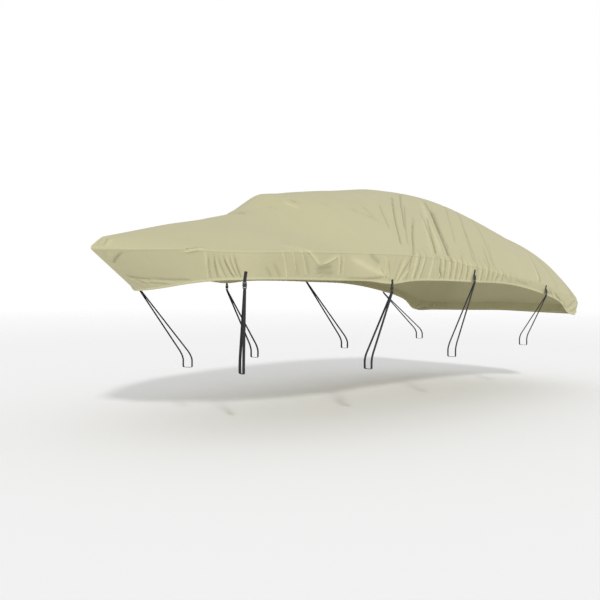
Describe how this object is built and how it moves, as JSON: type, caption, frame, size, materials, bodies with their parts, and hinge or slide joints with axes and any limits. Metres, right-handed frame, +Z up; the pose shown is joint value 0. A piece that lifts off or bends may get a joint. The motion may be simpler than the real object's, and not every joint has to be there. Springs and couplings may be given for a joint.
{
  "type": "boat cover",
  "caption": "Fitted cloth cover for a small open boat, with a raised crown over a windscreen, a gathered skirt and hanging strap loops.",
  "frame": {"origin": "the point under the middle of the top panel where the boat's windscreen and deck hold the cover up", "axes": "+X towards the stern, along the cover's length; +Y to starboard; +Z up"},
  "size_m": [5.94, 2.3061, 1.7362],
  "materials": {
    "cover_cloth": "matte",
    "webbing": "matte",
    "buckle_nylon": "satin"
  },
  "bodies": {
    "root": {"top_panel": "cover_cloth", "port_skirt": "cover_cloth", "starboard_skirt": "cover_cloth", "port_tab_1": "webbing", "port_tab_2": "webbing", "port_tab_3": "webbing", "port_tab_4": "webbing", "starboard_tab_1": "webbing", "starboard_tab_2": "webbing", "starboard_tab_3": "webbing", "starboard_tab_4": "webbing", "port_buckle_1": "buckle_nylon", "port_buckle_2": "buckle_nylon", "port_buckle_3": "buckle_nylon", "port_buckle_4": "buckle_nylon", "starboard_buckle_1": "buckle_nylon", "starboard_buckle_2": "buckle_nylon", "starboard_buckle_3": "buckle_nylon", "starboard_buckle_4": "buckle_nylon", "port_strap_1": "webbing", "port_strap_2": "webbing", "port_strap_3": "webbing", "port_strap_4": "webbing", "starboard_strap_1": "webbing", "starboard_strap_2": "webbing", "starboard_strap_3": "webbing", "starboard_strap_4": "webbing"}
  },
  "joints": []
}
